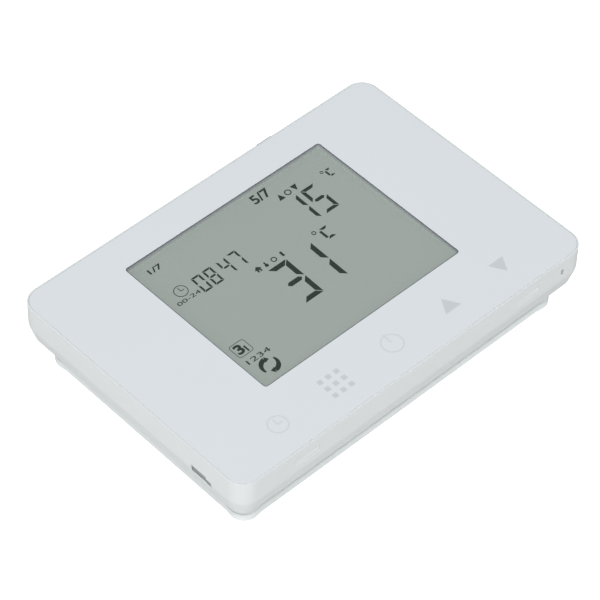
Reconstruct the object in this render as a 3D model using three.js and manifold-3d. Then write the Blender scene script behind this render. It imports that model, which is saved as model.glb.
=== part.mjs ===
// Wall thermostat lying on its back: a slim front module over a screw-fixed wall plate.
// Units are millimetres. X runs to the display's right, Y to its top, +Z out of the face.
// Z = 0 is the back plane of the wall plate.
import * as THREE from 'three';
import { mergeVertices } from 'three/addons/utils/BufferGeometryUtils.js';
import Module from 'manifold-3d';

const wasm = await Module();
wasm.setup();

// Front module outline and profile
const WIDTH = 120;
const HEIGHT = 83;
const CORNER_R = 5.3;
const FACE_Z = 22;
const SHOULDER_Z = 14.3;
const HOUSING_BOTTOM_Z = 9.2;
const UNDERCUT = 1.5;
const HOUSING_WALL = 2.8;
const RIM = 0.45;
const PANEL_GAP = 0.15;
const PANEL_T = 1.6;
const DECK_T = 1.3;
const PANEL_BACK_Z = FACE_Z - PANEL_T;
const DECK_BACK_Z = PANEL_BACK_Z - DECK_T;

// Display window and the stack behind it
const DISPLAY_Y = 4.9;
const WINDOW_W = 67.5;
const WINDOW_H = 52.7;
const LENS_GAP = 0.2;
const LENS_T = 1;
const CELL_W = 70;
const CELL_H = 55.2;
const CELL_TOP_Z = 20.3;
const CELL_BOTTOM_Z = 18.5;
const HOLDER_W = 72.6;
const HOLDER_H = 58;

// Touch keys
const KEY_Y = -32;
const KEY_XS = [-39.4, -20.05, -0.7, 18.65, 38];
const KEY_HOLE_D = 9.6;

// Main board and its fixings
const BOARD_TOP_Z = 16.6;
const BOARD_BOTTOM_Z = 15;
const BOARD_W = 108;
const BOARD_H = 71;
const BOARD_SCREW_XY = [[-44, 31], [44, 31], [-46.5, -22], [46.5, -22]];
const COVER_SCREW_XY = [[-54.2, 30], [54.2, 30], [-54.2, -14], [54.2, -14]];

// Rear cover: a flange with a relay tub sunk into the wall plate
const COVER_TOP_Z = 11.4;
const COVER_BOTTOM_Z = 9.8;
const COVER_GAP = 0.3;
const TUB = { x0: -45, x1: 45, y0: 3, y1: 31, bottom: 4.2, wall: 1.4 };

// Release tabs, reset slit and sensor slot in the side walls
const TAB_XS = [-38.45, 38.45];
const TAB_W = 7.8;
const TAB_GAP = 0.25;
const TAB_RECESS = 0.35;
const TAB_WINDOW = { w: TAB_W + 2 * TAB_GAP, z0: 16.6, z1: 19 };
const RESET_X = 51.1;
const SENSOR_Y = -26.9;

// Wall plate and terminals
const PLATE_W = 109.8;
const PLATE_H = 73.2;
const PLATE_R = 4;
const PLATE_FLOOR_T = 2;
const PLATE_WALL = 2.4;
const PLATE_TOP_Z = 9.4;
const PAD_PROUD = 0.3;
const PAD_LENGTH = 6;
const TERMINAL_XS = [-25, -15, -5, 5, 15, 25];
const TERMINAL_Y = -24.5;
const BLADE_Y = -31;
const BLOCK_TOP_Z = 9.2;

const SEGMENTS = 6;

function roundedRect(w, h, r, cx = 0, cy = 0) {
  const x = w / 2;
  const y = h / 2;
  const shape = new THREE.Shape();
  shape.moveTo(cx - x + r, cy - y);
  shape.lineTo(cx + x - r, cy - y);
  shape.absarc(cx + x - r, cy - y + r, r, -Math.PI / 2, 0, false);
  shape.lineTo(cx + x, cy + y - r);
  shape.absarc(cx + x - r, cy + y - r, r, 0, Math.PI / 2, false);
  shape.lineTo(cx - x + r, cy + y);
  shape.absarc(cx - x + r, cy + y - r, r, Math.PI / 2, Math.PI, false);
  shape.lineTo(cx - x, cy - y + r);
  shape.absarc(cx - x + r, cy - y + r, r, Math.PI, Math.PI * 1.5, false);
  return shape;
}

function slab(w, h, r, z0, z1, cx = 0, cy = 0) {
  const options = { depth: z1 - z0, bevelEnabled: false, curveSegments: SEGMENTS };
  const geometry = new THREE.ExtrudeGeometry(roundedRect(w, h, r, cx, cy), options);
  geometry.translate(0, 0, z0);
  return geometry;
}

function box(x0, x1, y0, y1, z0, z1) {
  const geometry = new THREE.BoxGeometry(x1 - x0, y1 - y0, z1 - z0);
  geometry.translate((x0 + x1) / 2, (y0 + y1) / 2, (z0 + z1) / 2);
  return geometry;
}

function post(d, z0, z1, cx, cy, sides = 20) {
  const geometry = new THREE.CylinderGeometry(d / 2, d / 2, z1 - z0, sides);
  geometry.rotateX(Math.PI / 2);
  geometry.translate(cx, cy, (z0 + z1) / 2);
  return geometry;
}

// A side profile drawn in Y and Z, given a width along X.
function profile(points, x0, x1) {
  const shape = new THREE.Shape(points.map(([y, z]) => new THREE.Vector2(y, z)));
  const geometry = new THREE.ExtrudeGeometry(shape, { depth: x1 - x0, bevelEnabled: false });
  const toPart = new THREE.Matrix4().set(0, 0, 1, x0, 1, 0, 0, 0, 0, 1, 0, 0, 0, 0, 0, 1);
  geometry.applyMatrix4(toPart);
  return geometry;
}

function solid(geometry) {
  const bare = geometry.index ? geometry.toNonIndexed() : geometry.clone();
  bare.deleteAttribute('normal');
  bare.deleteAttribute('uv');
  const merged = mergeVertices(bare, 1e-4);
  const vertProperties = new Float32Array(merged.attributes.position.array);
  const triVerts = new Uint32Array(merged.index.array);
  return new wasm.Manifold(new wasm.Mesh({ numProp: 3, vertProperties, triVerts }));
}

function join(base, pieces) {
  return pieces.reduce((sum, piece) => sum.add(solid(piece)), base);
}

function cut(base, pieces) {
  return pieces.reduce((rest, piece) => rest.subtract(solid(piece)), base);
}

function toGeometry(manifold) {
  const result = manifold.getMesh();
  const geometry = new THREE.BufferGeometry();
  geometry.setAttribute('position', new THREE.BufferAttribute(result.vertProperties, 3));
  geometry.setIndex(new THREE.BufferAttribute(result.triVerts, 1));
  geometry.computeVertexNormals();
  return geometry;
}

function finish(color, roughness, metalness = 0) {
  return { color, roughness, metalness };
}

const WHITE_GLOSS = finish(0xd8dde0, 0.18);
const WHITE_SATIN = finish(0xd5d8d9, 0.42);
const WHITE_BACK = finish(0xcdd1d2, 0.5);
const CLEAR = finish(0xe9eeee, 0.05);
const LCD_GREY = finish(0x9da6a1, 0.25);
const DIFFUSER = finish(0xf0f2ec, 0.6);
const BLACK_RUBBER = finish(0x222426, 0.8);
const BOARD_GREEN = finish(0x1f5a3a, 0.45);
const STEEL = finish(0xb9bcc0, 0.35, 1);
const BRASS = finish(0xc7a354, 0.35, 1);
const RELAY_BLUE = finish(0x2d4f86, 0.4);
const CHIP_BLACK = finish(0x1b1c1e, 0.5);
const TERMINAL_GREY = finish(0x8f9599, 0.5);
const ALUMINIUM = finish(0xa9adb2, 0.3, 1);
const SENSOR_DARK = finish(0x2b2018, 0.4);

const thermostat = new THREE.Group();
thermostat.name = 'wall_thermostat';

function add(name, shape, look) {
  const geometry = shape.isBufferGeometry ? shape : toGeometry(shape);
  const mesh = new THREE.Mesh(geometry, new THREE.MeshStandardMaterial(look));
  mesh.name = name;
  thermostat.add(mesh);
}

// ---- Front panel and display -------------------------------------------------------------

function frontPanel() {
  const inset = 2 * (RIM + PANEL_GAP);
  const r = CORNER_R - RIM - PANEL_GAP;
  const plate = solid(slab(WIDTH - inset, HEIGHT - inset, r, PANEL_BACK_Z, FACE_Z));
  return cut(plate, [slab(WINDOW_W, WINDOW_H, 0.9, PANEL_BACK_Z - 1, FACE_Z + 1, 0, DISPLAY_Y)]);
}

function displayLens() {
  const w = WINDOW_W - 2 * LENS_GAP;
  const h = WINDOW_H - 2 * LENS_GAP;
  const top = FACE_Z - 0.05;
  return slab(w, h, 0.7, top - LENS_T, top, 0, DISPLAY_Y);
}

function displayHolder() {
  const frame = solid(slab(HOLDER_W, HOLDER_H, 0.8, BOARD_TOP_Z, CELL_TOP_Z, 0, DISPLAY_Y));
  const pocket = slab(CELL_W + 0.4, CELL_H + 0.4, 0.4, BOARD_TOP_Z - 1, FACE_Z, 0, DISPLAY_Y);
  return cut(frame, [pocket]);
}

function contactStrip(side) {
  const y = DISPLAY_Y + side * 26.4;
  return box(-33, 33, y - 0.9, y + 0.9, BOARD_TOP_Z, CELL_BOTTOM_Z);
}

add('front_panel', frontPanel(), WHITE_GLOSS);
add('display_lens', displayLens(), CLEAR);
add('lcd_cell', slab(CELL_W, CELL_H, 0.3, CELL_BOTTOM_Z, CELL_TOP_Z, 0, DISPLAY_Y), LCD_GREY);
add('lcd_holder', displayHolder(), WHITE_BACK);
add('backlight_panel', slab(69.6, 50, 0.5, BOARD_TOP_Z + 0.1, 18.4, 0, DISPLAY_Y), DIFFUSER);
add('contact_strip_upper', contactStrip(1), BLACK_RUBBER);
add('contact_strip_lower', contactStrip(-1), BLACK_RUBBER);

// ---- Front housing -----------------------------------------------------------------------

// Straight upper wall over an undercut that tapers in towards the wall plate.
function housingOutside() {
  const w = WIDTH - 2 * UNDERCUT;
  const h = HEIGHT - 2 * UNDERCUT;
  const geometry = new THREE.ExtrudeGeometry(roundedRect(w, h, CORNER_R - UNDERCUT), {
    depth: FACE_Z - SHOULDER_Z,
    curveSegments: SEGMENTS,
    bevelEnabled: true,
    bevelSegments: 1,
    bevelSize: UNDERCUT,
    bevelThickness: SHOULDER_Z - HOUSING_BOTTOM_Z,
  });
  geometry.translate(0, 0, SHOULDER_Z);
  return cut(solid(geometry), [box(-70, 70, -50, 50, FACE_Z, FACE_Z + 10)]);
}

function insideSlab(inset, z0, z1) {
  return slab(WIDTH - 2 * inset, HEIGHT - 2 * inset, Math.max(CORNER_R - inset, 0.5), z0, z1);
}

function deckOpenings() {
  const display = slab(73, 58.4, 0.8, DECK_BACK_Z - 1, FACE_Z, 0, DISPLAY_Y);
  const keys = KEY_XS.map((x) => post(KEY_HOLE_D, DECK_BACK_Z - 1, FACE_Z, x, KEY_Y, 24));
  return [display, ...keys];
}

function wallOpenings() {
  const low = -HEIGHT / 2 - 1;
  const inner = -HEIGHT / 2 + HOUSING_WALL;
  const { w, z0, z1 } = TAB_WINDOW;
  const windows = TAB_XS.map((x) => box(x - w / 2, x + w / 2, low, inner + 0.1, z0, z1));
  const slit = box(RESET_X - 0.45, RESET_X + 0.45, low, inner + 0.5, 16.1, 18.6);
  const left = -WIDTH / 2 - 1;
  const leftIn = -WIDTH / 2 + HOUSING_WALL + 0.5;
  const slotTall = box(left, leftIn, SENSOR_Y - 1.8, SENSOR_Y + 3.7, 13.1, 15.75);
  const slotLow = box(left, leftIn, SENSOR_Y - 3.7, SENSOR_Y - 1.7, 13.3, 15);
  return [...windows, slit, slotTall, slotLow];
}

function housingBosses() {
  const board = BOARD_SCREW_XY.map(([x, y]) => post(5, BOARD_TOP_Z, DECK_BACK_Z + 0.2, x, y));
  const cover = COVER_SCREW_XY.map(([x, y]) => post(5, COVER_TOP_Z, DECK_BACK_Z + 0.2, x, y));
  return [...board, ...cover];
}

function housingBossHoles() {
  const board = BOARD_SCREW_XY.map(([x, y]) => post(2.2, BOARD_TOP_Z - 1, DECK_BACK_Z, x, y));
  const cover = COVER_SCREW_XY.map(([x, y]) => post(2.2, COVER_TOP_Z - 1, 17.5, x, y));
  return [...board, ...cover];
}

// Guide ribs that keep each release tab square in its window.
function tabGuides() {
  const y0 = -HEIGHT / 2 + HOUSING_WALL - 0.2;
  return TAB_XS.flatMap((x) => [-1, 1].map((side) => {
    const x0 = x + side * (TAB_W / 2 + 1.15) - 0.5;
    return box(x0, x0 + 1, y0, y0 + 1.8, COVER_TOP_Z + 0.4, DECK_BACK_Z + 0.2);
  }));
}

function frontHousing() {
  let shell = housingOutside();
  shell = cut(shell, [insideSlab(RIM, PANEL_BACK_Z, FACE_Z + 1)]);
  shell = cut(shell, [insideSlab(HOUSING_WALL, HOUSING_BOTTOM_Z - 1, DECK_BACK_Z)]);
  shell = join(shell, [...housingBosses(), ...tabGuides()]);
  return cut(shell, [...deckOpenings(), ...wallOpenings(), ...housingBossHoles()]);
}

add('front_housing', frontHousing(), WHITE_SATIN);

// ---- Release tabs ------------------------------------------------------------------------

// Button in the wall window, leg past the board edge, then a hook beside the plate's rim.
function releaseTab(x) {
  const face = -HEIGHT / 2 + TAB_RECESS;
  const low = TAB_WINDOW.z0 + TAB_GAP;
  const high = TAB_WINDOW.z1 - TAB_GAP;
  const outline = [
    [face, low], [-38.3, low], [-38.3, 12.2], [-33.4, 12.2], [-33.4, 8.2], [-33.9, 7.8],
    [-33.9, 6.8], [-32.2, 6.8], [-32.2, 13.4], [-37.1, 13.4], [-37.1, high], [face, high],
  ];
  return profile(outline, x - TAB_W / 2, x + TAB_W / 2);
}

add('release_tab_left', releaseTab(TAB_XS[0]), WHITE_SATIN);
add('release_tab_right', releaseTab(TAB_XS[1]), WHITE_SATIN);

// ---- Main board and what it carries ------------------------------------------------------

function mainBoard() {
  const board = solid(slab(BOARD_W, BOARD_H, 2, BOARD_BOTTOM_Z, BOARD_TOP_Z));
  const below = BOARD_BOTTOM_Z - 1;
  const above = BOARD_TOP_Z + 1;
  const notches = COVER_SCREW_XY.map(([x, y]) => {
    const inner = Math.sign(x) * 51.2;
    const outer = Math.sign(x) * 55;
    return box(Math.min(inner, outer), Math.max(inner, outer), y - 3.1, y + 3.1, below, above);
  });
  const holes = BOARD_SCREW_XY.map(([x, y]) => post(2.8, below, above, x, y));
  return cut(board, [...notches, ...holes]);
}

// Pan-head screw with a cross recess, pointing up into its boss.
function coverScrew(x, y, seat, length, headD) {
  const head = solid(post(headD, seat - 1.2, seat, x, y));
  const shank = post(1.9, seat - 0.1, seat + length, x, y, 12);
  const recess = [
    box(x - 0.25, x + 0.25, y - 1, y + 1, seat - 2, seat - 0.6),
    box(x - 1, x + 1, y - 0.25, y + 0.25, seat - 2, seat - 0.6),
  ];
  return cut(join(head, [shank]), recess);
}

class Coil extends THREE.Curve {
  constructor(x, y) {
    super();
    this.x = x;
    this.y = y;
  }

  getPoint(t, target = new THREE.Vector3()) {
    const angle = t * Math.PI * 2 * 3;
    const z = BOARD_TOP_Z + 0.35 + t * (PANEL_BACK_Z - BOARD_TOP_Z - 0.7);
    return target.set(this.x + 3.2 * Math.cos(angle), this.y + 3.2 * Math.sin(angle), z);
  }
}

function touchSpring(x) {
  const wire = new THREE.Shape();
  wire.absarc(0, 0, 0.3, 0, Math.PI * 2, false);
  const options = { steps: 42, curveSegments: 3, extrudePath: new Coil(x, KEY_Y) };
  return toGeometry(solid(new THREE.ExtrudeGeometry(wire, options)));
}

function contactHeader() {
  const body = solid(box(-28.5, 28.5, BLADE_Y - 1.9, BLADE_Y + 1.9, 12, BOARD_BOTTOM_Z));
  const slots = TERMINAL_XS.map((x) => {
    return box(x - 0.45, x + 0.45, BLADE_Y - 1.15, BLADE_Y + 1.15, 11, BOARD_BOTTOM_Z - 0.4);
  });
  return cut(body, slots);
}

function relay(x) {
  return slab(19.4, 15.6, 0.8, 5.8, BOARD_BOTTOM_Z, x, 17);
}

// Thermistor bead with its short lead end, hung under the board behind the wall slot.
function temperatureSensor() {
  const bead = new THREE.SphereGeometry(1.2, 16, 10);
  bead.translate(-52.6, SENSOR_Y + 1, 13.4);
  const neck = post(0.9, 13.9, BOARD_BOTTOM_Z, -52.6, SENSOR_Y + 1, 12);
  return join(solid(bead), [neck]);
}

add('main_board', mainBoard(), BOARD_GREEN);
BOARD_SCREW_XY.forEach(([x, y], i) => {
  add(`board_screw_${i + 1}`, coverScrew(x, y, BOARD_BOTTOM_Z, 3.6, 4.4), STEEL);
});
KEY_XS.forEach((x, i) => {
  add(`touch_spring_${i + 1}`, touchSpring(x), STEEL);
});
[-31, -9.5, 12].forEach((x, i) => {
  add(`relay_${i + 1}`, relay(x), RELAY_BLUE);
});
add('controller_chip', box(-5, 5, -17, -7, 13.8, BOARD_BOTTOM_Z), CHIP_BLACK);
add('storage_capacitor', post(8, 6.4, BOARD_BOTTOM_Z, 32, 17, 28), ALUMINIUM);
add('temperature_sensor', temperatureSensor(), SENSOR_DARK);
add('reset_switch', box(48.7, 53.7, -35.2, -31.8, BOARD_TOP_Z, 18.9), CHIP_BLACK);
add('reset_plunger', box(50.5, 51.9, -38.4, -35.5, 17, 18.4), STEEL);
add('contact_header', contactHeader(), CHIP_BLACK);
TERMINAL_XS.forEach((x, i) => {
  const blade = box(x - 0.4, x + 0.4, BLADE_Y - 1.1, BLADE_Y + 1.1, 5, BOARD_BOTTOM_Z - 0.4);
  add(`contact_blade_${i + 1}`, blade, BRASS);
});

// ---- Rear cover --------------------------------------------------------------------------

function rearCover() {
  const inset = 2 * (HOUSING_WALL + COVER_GAP);
  const z0 = COVER_BOTTOM_Z;
  const top = COVER_TOP_Z;
  const flange = solid(slab(WIDTH - inset, HEIGHT - inset, 2.2, z0, top));
  const cx = (TUB.x0 + TUB.x1) / 2;
  const cy = (TUB.y0 + TUB.y1) / 2;
  const w = TUB.x1 - TUB.x0;
  const h = TUB.y1 - TUB.y0;
  const inner = TUB.wall * 2;
  const tubbed = join(flange, [slab(w, h, 2, TUB.bottom, z0 + 0.5, cx, cy)]);
  const hollow = slab(w - inner, h - inner, 0.8, TUB.bottom + 1.2, top + 1, cx, cy);
  const bladeSlot = box(-29, 29, BLADE_Y - 1.6, BLADE_Y + 1.6, z0 - 1, top + 1);
  const tabSlots = TAB_XS.map((x) => box(x - 4.6, x + 4.6, -34.2, -30.8, z0 - 1, top + 1));
  const tongueSlots = [-24, 24].map((x) => box(x - 3.4, x + 3.4, 33.8, 36.2, z0 - 1, top + 1));
  const screwHoles = COVER_SCREW_XY.map(([x, y]) => post(2.4, z0 - 1, top + 1, x, y));
  const screwSinks = COVER_SCREW_XY.map(([x, y]) => post(5.2, z0 - 1, z0 + 0.9, x, y));
  const vents = [-8, -4, 0, 4, 8].map((x) => box(x - 0.8, x + 0.8, -18, -8, z0 - 1, top + 1));
  const openings = [hollow, bladeSlot, ...tabSlots, ...tongueSlots, ...screwHoles, ...screwSinks];
  return cut(tubbed, [...openings, ...vents]);
}

add('rear_cover', rearCover(), WHITE_BACK);
COVER_SCREW_XY.forEach(([x, y], i) => {
  add(`cover_screw_${i + 1}`, coverScrew(x, y, COVER_BOTTOM_Z + 0.9, 5.6, 4.6), STEEL);
});

// ---- Wall plate --------------------------------------------------------------------------

function mountingHoles() {
  const slots = [-30, 30].map((x) => slab(8, 4, 1.99, -1, PLATE_FLOOR_T + 1, x, -2));
  const corners = [[-46, 28], [46, 28], [-46, -27], [46, -27]];
  const holes = corners.map(([x, y]) => post(4, -1, PLATE_FLOOR_T + 1, x, y, 24));
  return [...slots, ...holes];
}

function wallPlate() {
  const inner = 2 * PLATE_WALL;
  let plate = solid(slab(PLATE_W, PLATE_H, PLATE_R, 0, PLATE_TOP_Z));
  const padW = PLATE_W + 2 * PAD_PROUD;
  const padH = PLATE_H + 2 * PAD_PROUD;
  const padRing = cut(solid(slab(padW, padH, PLATE_R + PAD_PROUD, 0, 8)), [
    box(-PLATE_W / 2 + PAD_LENGTH, PLATE_W / 2 - PAD_LENGTH, -50, 50, -1, 9),
    box(-70, 70, -PLATE_H / 2 + PAD_LENGTH, PLATE_H / 2 - PAD_LENGTH, -1, 9),
  ]);
  plate = plate.add(padRing);
  const tray = slab(PLATE_W - inner, PLATE_H - inner, 2.5, PLATE_FLOOR_T, PLATE_TOP_Z + 1);
  const cable = slab(30, 12.6, 2, -1, PLATE_FLOOR_T + 1, 0, -11);
  const catches = TAB_XS.map((x) => box(x - 4.6, x + 4.6, -37, -33.5, 6.4, 8.4));
  plate = cut(plate, [tray, cable, ...catches, ...mountingHoles()]);
  const tongues = [-24, 24].map((x) => box(x - 3, x + 3, 34.2, 35.8, PLATE_TOP_Z - 0.2, 11));
  return join(plate, tongues);
}

add('wall_plate', wallPlate(), WHITE_BACK);

// ---- Screw terminals ---------------------------------------------------------------------

function terminalBlock() {
  const block = solid(box(-30.5, 30.5, -33.2, -20.8, PLATE_FLOOR_T, BLOCK_TOP_Z));
  const openings = TERMINAL_XS.flatMap((x) => [
    box(x - 3.3, x + 3.3, TERMINAL_Y - 3.1, TERMINAL_Y + 3.1, 3.4, BLOCK_TOP_Z + 1),
    box(x - 2.5, x + 2.5, TERMINAL_Y + 3, -20, 3.4, 6.6),
    post(3, 1, 4, x, TERMINAL_Y),
    box(x - 0.8, x + 0.8, BLADE_Y - 1.4, BLADE_Y + 1.4, 4, BLOCK_TOP_Z + 1),
  ]);
  return cut(block, openings);
}

function terminalScrew(x) {
  const head = solid(post(5, 7, 8.5, x, TERMINAL_Y, 24));
  const shank = post(2.6, 3.8, 7.1, x, TERMINAL_Y, 16);
  const slot = box(x - 0.4, x + 0.4, TERMINAL_Y - 3, TERMINAL_Y + 3, 7.7, 9);
  return cut(join(head, [shank]), [slot]);
}

function clampPlate(x) {
  const y0 = TERMINAL_Y - 2.8;
  const plate = solid(box(x - 3, x + 3, y0, y0 + 5.6, 6.1, 7));
  return cut(plate, [post(3, 5, 8, x, TERMINAL_Y)]);
}

add('terminal_block', terminalBlock(), TERMINAL_GREY);
TERMINAL_XS.forEach((x, i) => {
  add(`terminal_screw_${i + 1}`, terminalScrew(x), STEEL);
  add(`clamp_plate_${i + 1}`, clampPlate(x), BRASS);
});

export default thermostat;
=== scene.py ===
"""Wall thermostat lying on its back: glossy touch face, liquid crystal display, wall plate."""
import math

import bpy
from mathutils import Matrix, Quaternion, Vector


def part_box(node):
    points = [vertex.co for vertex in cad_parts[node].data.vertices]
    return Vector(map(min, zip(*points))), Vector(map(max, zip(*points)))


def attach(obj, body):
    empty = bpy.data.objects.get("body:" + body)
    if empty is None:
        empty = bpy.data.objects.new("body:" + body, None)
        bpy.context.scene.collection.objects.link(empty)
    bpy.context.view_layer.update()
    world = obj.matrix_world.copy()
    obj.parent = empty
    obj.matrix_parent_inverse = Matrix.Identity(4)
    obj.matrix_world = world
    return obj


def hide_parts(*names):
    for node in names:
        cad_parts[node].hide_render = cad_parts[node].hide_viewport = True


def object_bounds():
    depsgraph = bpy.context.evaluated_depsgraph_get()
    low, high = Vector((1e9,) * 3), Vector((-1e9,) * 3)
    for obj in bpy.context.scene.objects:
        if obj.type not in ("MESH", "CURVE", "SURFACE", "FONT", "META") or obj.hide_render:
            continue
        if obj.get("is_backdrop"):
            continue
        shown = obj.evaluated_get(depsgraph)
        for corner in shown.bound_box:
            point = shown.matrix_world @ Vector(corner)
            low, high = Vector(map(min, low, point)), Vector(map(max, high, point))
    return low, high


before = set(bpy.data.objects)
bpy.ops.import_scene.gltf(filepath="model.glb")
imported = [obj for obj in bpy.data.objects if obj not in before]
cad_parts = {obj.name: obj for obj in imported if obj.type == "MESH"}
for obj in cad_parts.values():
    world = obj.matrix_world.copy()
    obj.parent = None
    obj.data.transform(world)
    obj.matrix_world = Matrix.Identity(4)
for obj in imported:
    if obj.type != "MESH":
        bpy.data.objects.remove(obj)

cad_low, cad_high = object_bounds()

MM = 0.001

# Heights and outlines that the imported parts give
PANEL_LOW, PANEL_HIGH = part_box("front_panel")
HOUSING_LOW, HOUSING_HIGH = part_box("front_housing")
LENS_LOW, LENS_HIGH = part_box("display_lens")
CELL_LOW, CELL_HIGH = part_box("lcd_cell")
PLATE_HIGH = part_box("wall_plate")[1]

FACE_Z = PANEL_HIGH.z
WINDOW_GAP = 0.2 * MM
KEY_CENTRES = [sum(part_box(f"touch_spring_{n}"), Vector()) / 2 for n in range(1, 6)]

CORNER_RADIUS = 5.3 * MM
SHOULDER_Z = 14.3 * MM
SHOULDER_ROUND = 0.4 * MM
UNDERCUT = 1.5 * MM
HOUSING_WALL = 2.8 * MM
RIM = 0.45 * MM
SEAM = 0.06 * MM


# ---------------------------------------------------------------- modelling helpers

def deselect():
    bpy.ops.object.select_all(action="DESELECT")


def activate(piece):
    deselect()
    piece.select_set(True)
    bpy.context.view_layer.objects.active = piece


def settle(piece, name):
    """Puts the piece's place, turn and size into its mesh."""
    activate(piece)
    bpy.ops.object.transform_apply(location=True, rotation=True, scale=True)
    piece.name = name
    piece.data.name = name
    return piece


def block(low, high, name="block"):
    low, high = Vector(low), Vector(high)
    deselect()
    bpy.ops.mesh.primitive_cube_add(size=1, location=(low + high) / 2)
    piece = bpy.context.object
    piece.scale = high - low
    return settle(piece, name)


def disc(centre, radius, z0, z1, sides):
    deselect()
    bpy.ops.mesh.primitive_cylinder_add(
        vertices=sides, radius=radius, depth=z1 - z0,
        location=(centre[0], centre[1], (z0 + z1) / 2),
    )
    return settle(bpy.context.object, "disc")


def choose(piece, kind, test):
    """Selects the faces, edges or points that pass the test and enters edit mode."""
    activate(piece)
    mesh = piece.data
    for group in (mesh.vertices, mesh.edges, mesh.polygons):
        group.foreach_set("select", [False] * len(group))
    if kind == "FACE":
        for face in mesh.polygons:
            face.select = bool(test(face.center, face.normal))
    elif kind == "EDGE":
        points = mesh.vertices
        for edge in mesh.edges:
            a, b = (points[i].co for i in edge.vertices)
            edge.select = bool(test(a, b))
    else:
        for point in mesh.vertices:
            point.select = bool(test(point.co))
    kinds = ("VERT", "EDGE", "FACE")
    bpy.context.tool_settings.mesh_select_mode = tuple(kind == each for each in kinds)
    bpy.ops.object.mode_set(mode="EDIT")


def leave():
    bpy.ops.object.mode_set(mode="OBJECT")


def upright(a, b):
    return abs(a.x - b.x) < 1e-7 and abs(a.y - b.y) < 1e-7


def rounded_block(low, high, radius, name="rounded", *, segments):
    piece = block(low, high, name)
    choose(piece, "EDGE", upright)
    bpy.ops.mesh.bevel(offset=radius, segments=segments, affect="EDGES")
    leave()
    return piece


def boolean(piece, other, operation):
    activate(piece)
    tool = piece.modifiers.new("cut", "BOOLEAN")
    tool.operation = operation
    tool.solver = "EXACT"
    tool.object = other
    bpy.ops.object.modifier_apply(modifier=tool.name)
    bpy.data.objects.remove(other)


def cut(piece, *cutters):
    for cutter in cutters:
        boolean(piece, cutter, "DIFFERENCE")
    return piece


def fuse(piece, *others):
    for other in others:
        boolean(piece, other, "UNION")
    return piece


def join(pieces, name):
    """Separate islands of one printed or moulded set, kept as one piece."""
    deselect()
    for piece in pieces:
        piece.select_set(True)
    bpy.context.view_layer.objects.active = pieces[0]
    bpy.ops.object.join()
    joined = bpy.context.object
    joined.name = name
    joined.data.name = name
    return joined


def crisp(piece, width, segments=2, angle=30, smooth=20):
    """Small rounds on the sharp edges, as moulding and cutting leave them."""
    activate(piece)
    rounding = piece.modifiers.new("round", "BEVEL")
    rounding.width = width
    rounding.segments = segments
    rounding.limit_method = "ANGLE"
    rounding.angle_limit = math.radians(angle)
    rounding.use_clamp_overlap = True
    bpy.ops.object.modifier_apply(modifier=rounding.name)
    bpy.ops.object.shade_smooth_by_angle(angle=math.radians(smooth))
    return piece


def copy_at(piece, offset, name):
    twin = piece.copy()
    twin.data = piece.data.copy()
    bpy.context.scene.collection.objects.link(twin)
    twin.location = offset
    return settle(twin, name)


def softened(node, width, name):
    """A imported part's shape with its points merged, flats cleaned and edges rounded."""
    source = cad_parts[node]
    piece = source.copy()
    piece.data = source.data.copy()
    piece.parent = None
    for key in list(piece.keys()):
        del piece[key]
    piece.name = name
    bpy.context.scene.collection.objects.link(piece)
    choose(piece, "VERT", lambda co: True)
    bpy.ops.mesh.remove_doubles(threshold=1e-6)
    bpy.ops.mesh.dissolve_limited(angle_limit=math.radians(1))
    leave()
    return crisp(piece, width)


def dress(piece, material, body, slot, *nodes):
    piece.data.materials.clear()
    piece.data.materials.append(material)
    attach(piece, body)
    if nodes:
        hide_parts(*nodes)


# ---------------------------------------------------------------- materials

def srgb(red, green, blue):
    def linear(value):
        value /= 255
        return value / 12.92 if value <= 0.04045 else ((value + 0.055) / 1.055) ** 2.4
    return (linear(red), linear(green), linear(blue), 1.0)


def new_group(name, inputs, outputs):
    group = bpy.data.node_groups.new(name, "ShaderNodeTree")
    for label, default in inputs:
        socket = group.interface.new_socket(label, in_out="INPUT", socket_type="NodeSocketFloat")
        socket.default_value = default
    for label in outputs:
        group.interface.new_socket(label, in_out="OUTPUT", socket_type="NodeSocketFloat")
    return group, group.nodes.new("NodeGroupInput"), group.nodes.new("NodeGroupOutput")


def moulded_skin():
    """Fine surface grain for bumps, and slow cloudy drift for colour and gloss."""
    group, given, result = new_group(
        "moulded_skin", [("Grain", 2600.0), ("Drift", 40.0)], ["Height", "Cloud"]
    )
    place = group.nodes.new("ShaderNodeTexCoord")
    for label, source, detail in (("Height", "Grain", 4.0), ("Cloud", "Drift", 3.0)):
        noise = group.nodes.new("ShaderNodeTexNoise")
        noise.inputs["Detail"].default_value = detail
        noise.inputs["Roughness"].default_value = 0.55
        group.links.new(place.outputs["Object"], noise.inputs["Vector"])
        group.links.new(given.outputs[source], noise.inputs["Scale"])
        group.links.new(noise.outputs["Fac"], result.inputs[label])
    return group


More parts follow.
